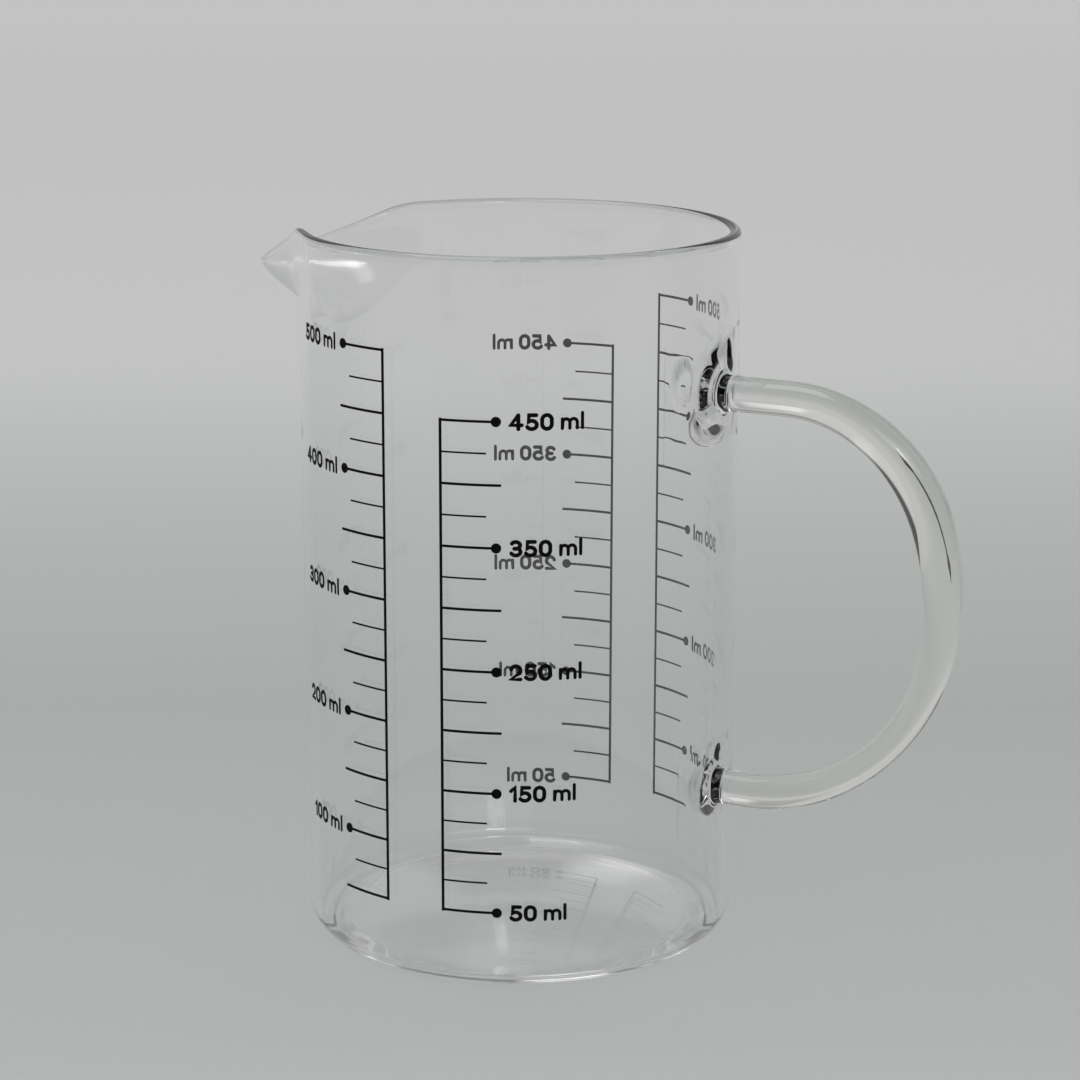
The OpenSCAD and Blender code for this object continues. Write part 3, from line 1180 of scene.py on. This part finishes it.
@dataclass
class NumeralFace:
    """The plain rounded lettering of the scales, drawn as strokes.

    Attributes:
        height: Height of a figure between the middles of its strokes.
        width: Width of a figure between the middles of its strokes.
        small: Height of the small letter m.
        tall: Height of the small letter l.
        pen_w: Width of a figure's stroke.
        unit_w: Width of a letter's stroke.
        pen_t: Thickness of the enamel.
        space: Free space between two signs.
        word_gap: Further space between two words.
        bow_step: Turn from one point of a bow to the next, in degrees.
        round_end: Places along a stroke's round end and its width there, both as shares, from the tip.
        end_t: Share of the thickness that is left at the tip.
        sharpest: Limit of the cosine by which a corner of a stroke is widened.
        sides: Number of corners of a stroke's section.
    """

    height: float = 0.0024
    width: float = 0.00165
    small: float = 0.00163
    tall: float = 0.0026
    pen_w: float = 0.00071
    unit_w: float = 0.0006
    pen_t: float = 0.0001
    space: float = 0.00091
    word_gap: float = 0.00092
    bow_step: float = 18.0
    round_end: tuple[tuple[float, float], ...] = ((0.97, 0.25), (0.8, 0.6), (0.4, 0.92))
    end_t: float = 0.5
    sharpest: float = 0.6
    sides: int = 8

    def bow(
        self, x: float, y: float, rx: float, ry: float, start: float, end: float
    ) -> list[tuple[float, float]]:
        """Gives the points of a bow.

        Args:
            x: Centre across.
            y: Centre up.
            rx: Radius across.
            ry: Radius up.
            start: First angle in degrees.
            end: Last angle in degrees.

        Returns:
            The points.
        """
        count = max(4, round(abs(end - start) / self.bow_step))
        angles = [math.radians(start + (end - start) * step / count) for step in range(count + 1)]
        return [(x + rx * math.cos(angle), y + ry * math.sin(angle)) for angle in angles]

    def strokes(self, sign: str) -> tuple[list[list[tuple[float, float]]], float]:
        """Draws one sign.

        Args:
            sign: A figure from 0 to 5, m, l or a space.

        Returns:
            Its strokes, and its width between the middles of its strokes.
        """
        w, h, s = self.width, self.height, self.small
        r = w / 2.0
        if sign == "0":
            ring = self.bow(r, h - r, r, r, 0.0, 180.0) + self.bow(r, r, r, r, 180.0, 360.0) + [(w, h - r)]
            return [ring], w
        if sign == "1":
            return [[(0.0, 0.74 * h), (0.42 * w, h), (0.42 * w, 0.0)]], 0.42 * w
        if sign == "2":
            top = self.bow(r, h - r, r, r, 165.0, -35.0)
            return [top + [(0.0, 0.0), (w, 0.0)]], w
        if sign == "3":
            upper = self.bow(r, 0.745 * h, 0.46 * w, 0.255 * h, 150.0, -90.0)
            lower = self.bow(r, 0.265 * h, r, 0.265 * h, 75.0, -155.0)
            return [upper, [(0.7 * r, 0.5 * h), (1.2 * r, 0.5 * h)], lower], w
        if sign == "4":
            stem, bar, end = 0.78 * w, 0.28 * h, 1.13 * w
            return [[(stem, h), (0.0, bar), (end, bar)], [(stem, h), (stem, 0.0)]], end
        if sign == "5":
            bowl = self.bow(0.47 * w, 0.3 * h, 0.53 * w, 0.3 * h, 115.0, -150.0)
            return [[(0.95 * w, h), (0.2 * w, h), (0.12 * w, 0.5 * h)] + bowl], w
        if sign == "m":
            arch = 0.79 * w
            bows = []
            for left in (0.0, arch):
                bows.append(
                    [(left, 0.0 if left == 0.0 else 0.7 * s)]
                    + self.bow(left + arch / 2.0, s - arch / 2.0, arch / 2.0, arch / 2.0, 150.0, 0.0)
                    + [(left + arch, 0.0)]
                )
            return [[(0.0, 0.0), (0.0, s)], *bows], 2.0 * arch
        if sign == "l":
            return [[(0.0, 0.0), (0.0, self.tall)]], 0.0
        return [], 0.0

    def draw(
        self, bm: bmesh.types.BMesh, points: list[tuple[float, float]], shift: float, width: float
    ) -> None:
        """Draws one stroke as a flat bead with round ends.

        Args:
            bm: The mesh to add to.
            points: The stroke's points.
            shift: How far along the line of print it lies.
            width: The stroke's width.
        """
        places = [Vector((shift + x, 0.0, y)) for x, y in points]
        ways = [(after - before).normalized() for before, after in zip(places, places[1:])]
        rings: list[Matrix] = []
        half = width / 2.0
        inward = Vector((0.0, 1.0, 0.0))
        for index, place in enumerate(places):
            before = ways[max(index - 1, 0)]
            after = ways[min(index, len(ways) - 1)]
            way = (before + after).normalized()
            widen = 1.0 / max(way.dot(after), self.sharpest)
            facing = Matrix((way.cross(inward), inward, way)).transposed().to_4x4()
            size = Matrix.Diagonal((half * widen, self.pen_t / 2.0, 1.0, 1.0))
            head = [(-push, share) for push, share in self.round_end] if index == 0 else []
            tail = list(reversed(self.round_end)) if index == len(places) - 1 else []
            for push, share in head + [(0.0, 1.0)] + tail:
                thin = Matrix.Diagonal((share, max(share, self.end_t), 1.0, 1.0))
                rings.append(Matrix.Translation(place + way * half * push) @ facing @ size @ thin)
        sweep(bm, rings, self.sides)

    def write(self, words: str) -> tuple[bmesh.types.BMesh, float]:
        """Writes a label in the XZ plane, from the origin to the right.

        Args:
            words: The label.

        Returns:
            The mesh, and the label's length between the middles of its strokes.
        """
        bm = bmesh.new()
        at = 0.0
        for sign in words:
            lines, width = self.strokes(sign)
            for line in lines:
                self.draw(bm, line, at, self.pen_w if sign.isdigit() else self.unit_w)
            at += width + self.space if lines else self.word_gap
        return bm, at - self.space


@dataclass
class PrintedScale:
    """One of the four scales: the marks of a solid and the numerals beside them.

    Attributes:
        panel: The side of the wall.
        reading: Which of the panel's two scales.
        wall_r: Radius of the wall.
        lift: How far the middle of the enamel stands off the wall.
        spine_gap: Distance along the wall between the two scales' upright lines.
        label_gap: Distance along the wall from the upright line to the nearer end of a label.
        zero_z: Height of an empty jug's mark.
        rise: Height of 1 ml.
        step: Volume from one label to the next.
    """

    panel: Panel
    reading: Reading
    wall_r: float = 0.040
    lift: float = 0.00008
    spine_gap: float = 0.0113
    label_gap: float = 0.01235
    zero_z: float = 0.00416
    rise: float = 0.0002216
    step: int = 100

    @property
    def node(self) -> str:
        """Names the solid that holds the marks."""
        return f"{self.panel.name.lower()}_scale_{self.reading.value}"

    @property
    def way(self) -> float:
        """Gives 1 where the marks run to the right as seen from outside, and -1 where they run left."""
        return 1.0 if self.reading is Reading.FIFTIES else -1.0

    def build(self, face: NumeralFace) -> bpy.types.Object:
        """Writes the labels and bends them round the wall.

        Args:
            face: The lettering.

        Returns:
            The numerals of this scale.
        """
        whole = bmesh.new()
        spine = math.radians(self.panel.value) * self.wall_r + self.way * self.spine_gap / 2.0
        for volume in range(self.reading.value, 0, -self.step):
            label, length = face.write(f"{volume} ml")
            start = spine + self.label_gap if self.way > 0 else spine - self.label_gap - length
            place = Matrix.Translation((start, 0.0, self.zero_z + self.rise * volume - face.height / 2.0))
            bmesh.ops.transform(label, matrix=place, verts=label.verts)
            add_mesh(whole, label)
        for vert in whole.verts:
            angle = vert.co.x / self.wall_r
            radius = self.wall_r + self.lift - vert.co.y
            vert.co.x, vert.co.y = radius * math.cos(angle), radius * math.sin(angle)
        bmesh.ops.recalc_face_normals(whole, faces=whole.faces)
        return new_object(f"{self.panel.name.lower()}_numerals_{self.reading.value}", whole)

    def dress(self, obj: bpy.types.Object, enamel: bpy.types.Material) -> None:
        """Gives the numerals and the marks their enamel and their place in the frame.

        Args:
            obj: The numerals.
            enamel: The enamel.
        """
        obj.data.materials.append(enamel)
        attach(obj, ROOT)
        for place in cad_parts[self.node].material_slots:
            place.material = enamel


@dataclass(frozen=True)
class SoftPanel:
    """A pale or dark part of the room, which shows in the glass.

    Attributes:
        turn: Place in degrees to the left of where the camera looks.
        lift: Place in degrees above the horizon.
        half_w: Half of its width in degrees.
        half_h: Half of its height in degrees.
        edge: Half of the width of its soft edge in degrees.
        level: Its brightness.
    """

    turn: float
    lift: float
    half_w: float
    half_h: float
    edge: float
    level: float

    def span(
        self, bench: NodeBench, angle: bpy.types.NodeSocket, middle: float, half: float
    ) -> bpy.types.NodeSocket:
        """Marks the stretch of one angle that the panel takes up.

        Args:
            bench: The world's nodes.
            angle: The angle in degrees.
            middle: The stretch's middle.
            half: Half of its length.

        Returns:
            1 inside and 0 outside.
        """
        away = bench.add("ShaderNodeMath", operation="SUBTRACT")
        away.inputs[1].default_value = middle
        bench.join(angle, away.inputs[0])
        wrapped = bench.add("ShaderNodeMath", operation="WRAP")
        wrapped.inputs[1].default_value, wrapped.inputs[2].default_value = 180.0, -180.0
        bench.join(away.outputs["Value"], wrapped.inputs[0])
        distance = bench.add("ShaderNodeMath", operation="ABSOLUTE")
        bench.join(wrapped.outputs["Value"], distance.inputs[0])
        fade = bench.add("ShaderNodeMapRange", interpolation_type="SMOOTHSTEP", To_Min=1.0, To_Max=0.0)
        fade.inputs["From Min"].default_value = half - self.edge
        fade.inputs["From Max"].default_value = half + self.edge
        bench.join(distance.outputs["Value"], fade.inputs["Value"])
        return fade.outputs["Result"]

    def paint(
        self,
        bench: NodeBench,
        turn: bpy.types.NodeSocket,
        lift: bpy.types.NodeSocket,
        under: bpy.types.NodeSocket,
    ) -> bpy.types.NodeSocket:
        """Paints the panel over what is there.

        Args:
            bench: The world's nodes.
            turn: The direction's turn in degrees.
            lift: The direction's height in degrees.
            under: The colour so far.

        Returns:
            The colour with the panel.
        """
        area = bench.add("ShaderNodeMath", operation="MULTIPLY")
        bench.join(self.span(bench, turn, self.turn, self.half_w), area.inputs[0])
        bench.join(self.span(bench, lift, self.lift, self.half_h), area.inputs[1])
        mix = bench.add("ShaderNodeMix", data_type="RGBA")
        bench.join(area.outputs["Value"], mix.inputs["Factor"])
        bench.join(under, mix.inputs["A"])
        mix.inputs["B"].default_value = (self.level, self.level, self.level, 1.0)
        return mix.outputs["Result"]


ROOM = (
    SoftPanel(180.0, 15.0, 140.0, 35.0, 10.0, 0.05),  # dark half of the room, behind the camera
    SoftPanel(0.0, 82.0, 200.0, 30.0, 3.0, 0.12),  # ceiling
    SoftPanel(-158.0, 45.0, 30.0, 9.0, 4.0, 1.8),  # light above and behind the camera
    SoftPanel(-163.0, 42.0, 6.0, 5.0, 2.0, 9.0),  # its bright middle, which shows in the spout
    SoftPanel(-24.0, 8.0, 17.0, 18.0, 4.0, 0.58),  # wall behind the handle
    SoftPanel(-20.0, 37.0, 42.0, 7.0, 2.0, 0.3),  # band above that wall
    SoftPanel(2.0, 15.0, 5.0, 11.0, 2.0, 0.38),  # grey strip behind the jug
    SoftPanel(-6.5, 11.0, 2.5, 6.0, 1.5, 0.8),  # pale strip beside it
)


@dataclass
class Studio:
    """Floor, lamp, surroundings and camera.

    Attributes:
        floor_r: Radius of the floor.
        floor_drop: Hair line between the floor and the jug.
        floor_sides: Number of corners of the floor's edge.
        camera_place: Where the camera stands.
        camera_heading: Direction that it looks in, in degrees from +X.
        camera_pitch: How far it looks down, in degrees.
        camera_roll: How far it is turned about its own axis, in degrees.
        lens: Focal length in millimetres.
        sensor: Width of the camera's sensor in millimetres.
        sight: Farthest distance that the camera sees.
        lamp_place: Where the lamp hangs.
        lamp_size: Its width and height.
        lamp_watts: Its power.
        lamp_aim: The point that it faces.
        even_light: Brightness of the light that the floor gets from all round.
        room_low: Colour of the room at the horizon.
        room_high: Colour of the room overhead.
        bounces: How often light goes on through glass, or in all.
        glossy_bounces: How often it goes on from a glossy surface.
    """

    floor_r: float = 9.0
    floor_drop: float = 0.0001
    floor_sides: int = 96
    camera_place: tuple[float, float, float] = (0.25592, -0.48132, 0.2065)
    camera_heading: float = 117.6087
    camera_pitch: float = 13.7114
    camera_roll: float = 0.0856
    lens: float = 100.9717
    sensor: float = 36.0
    sight: float = 50.0
    lamp_place: tuple[float, float, float] = (-0.35, -0.1, 1.4)
    lamp_size: tuple[float, float] = (0.7, 0.7)
    lamp_watts: float = 4.0
    lamp_aim: tuple[float, float, float] = (0.0, 0.0, 0.06)
    even_light: float = 0.83
    room_low: tuple[float, float, float] = (0.5, 0.505, 0.505)
    room_high: tuple[float, float, float] = (0.65, 0.65, 0.65)
    bounces: int = 40
    glossy_bounces: int = 32

    def build_floor(self) -> None:
        """Lays the floor."""
        bm = bmesh.new()
        bmesh.ops.create_circle(
            bm,
            cap_ends=True,
            segments=self.floor_sides,
            radius=self.floor_r,
            matrix=Matrix.Translation((0.0, 0.0, -self.floor_drop)),
        )
        floor = new_object("paper_floor", bm, Shade.FLAT)
        floor.data.materials.append(GREY_PAPER.make())

    def build_lamp(self) -> None:
        """Hangs one soft lamp that faces the jug."""
        data = bpy.data.lights.new("overhead_lamp", "AREA")
        data.shape = "RECTANGLE"
        data.size, data.size_y = self.lamp_size
        data.energy = self.lamp_watts
        lamp = bpy.data.objects.new("overhead_lamp", data)
        lamp.location = self.lamp_place
        facing = Vector(self.lamp_aim) - Vector(self.lamp_place)
        lamp.rotation_euler = facing.to_track_quat("-Z", "Y").to_euler()
        bpy.context.scene.collection.objects.link(lamp)

    def build_world(self) -> None:
        """Surrounds the jug with even light, and with a room of soft panels that shows in the glass."""
        world = bpy.data.worlds.new("pale_room")
        bpy.context.scene.world = world
        world.use_nodes = True
        bench = NodeBench(world.node_tree)
        shown = bench.add("ShaderNodeBackground", Strength=1.0)
        place = bench.add("ShaderNodeTexCoord").outputs["Generated"]
        heading = math.radians(self.camera_heading)
        turn = bench.add("ShaderNodeMath", operation="ARCTAN2")
        for slot, way in enumerate((heading + math.pi / 2.0, heading)):
            share = bench.add("ShaderNodeVectorMath", operation="DOT_PRODUCT")
            share.inputs[1].default_value = (math.cos(way), math.sin(way), 0.0)
            bench.join(place, share.inputs[0])
            bench.join(share.outputs["Value"], turn.inputs[slot])
        axis = bench.add("ShaderNodeSeparateXYZ")
        bench.join(place, axis.inputs["Vector"])
        lift = bench.add("ShaderNodeMath", operation="ARCSINE")
        bench.join(axis.outputs["Z"], lift.inputs[0])
        angles = []
        for angle in (turn, lift):
            degrees = bench.add("ShaderNodeMath", operation="DEGREES")
            bench.join(angle.outputs["Value"], degrees.inputs[0])
            angles.append(degrees.outputs["Value"])
        colour = bench.ramp(axis.outputs["Z"], [(0.0, self.room_low), (1.0, self.room_high)])
        for panel in ROOM:
            colour = panel.paint(bench, angles[0], angles[1], colour)
        bench.join(colour, shown.inputs["Color"])
        even = bench.add("ShaderNodeBackground", Color=(1.0, 1.0, 1.0, 1.0), Strength=self.even_light)
        in_glass = ("Is Glossy Ray", "Is Transmission Ray")
        light = bench.by_ray(in_glass, even.outputs["Background"], shown.outputs["Background"])
        bench.show(light, "ShaderNodeOutputWorld")

    def build_camera(self) -> None:
        """Stands the camera where the picture was taken from."""
        data = bpy.data.cameras.new("camera")
        data.sensor_width = self.sensor
        data.lens = self.lens
        data.clip_end = self.sight
        camera = bpy.data.objects.new("camera", data)
        turn = Matrix.Rotation(math.radians(self.camera_heading - 90.0), 4, "Z")
        tilt = Matrix.Rotation(math.radians(90.0 - self.camera_pitch), 4, "X")
        roll = Matrix.Rotation(math.radians(self.camera_roll), 4, "Z")
        camera.matrix_world = Matrix.Translation(self.camera_place) @ turn @ tilt @ roll
        bpy.context.scene.collection.objects.link(camera)
        bpy.context.scene.camera = camera

    def build(self) -> None:
        """Sets up the whole studio."""
        self.build_floor()
        self.build_lamp()
        self.build_world()
        self.build_camera()
        scene = bpy.context.scene
        scene.view_settings.view_transform = "Standard"
        scene.cycles.max_bounces = self.bounces
        scene.cycles.glossy_bounces = self.glossy_bounces
        scene.cycles.transmission_bounces = self.bounces
        scene.cycles.caustics_refractive = False
        scene.cycles.caustics_reflective = False


def main() -> None:
    """Builds and dresses the jug, piece by piece, and sets up the studio."""
    logging.basicConfig(level=logging.INFO, format="%(name)s: %(message)s")
    welds = [UPPER_WELD, LOWER_WELD]
    fused = FUSED_GLASS.make()
    gather = WELD_GLASS.make()
    parts = [(GlassBody(welds), WALL_GLASS.make()), (HandleRod(), ROD_GLASS.make())]
    parts += [(weld, gather) for weld in welds]
    pieces = []
    for part, glass in parts:
        piece = part.build()
        part.dress(piece, glass, fused)
        pieces.append(piece)
    enamel = BLACK_ENAMEL.make()
    face = NumeralFace()
    for panel in Panel:
        for reading in Reading:
            scale = PrintedScale(panel, reading)
            piece = scale.build(face)
            scale.dress(piece, enamel)
            pieces.append(piece)
    for piece in pieces:
        LOG.info("%s: %d faces", piece.name, len(piece.data.polygons))
    Studio().build()


if __name__ == "__main__":
    main()
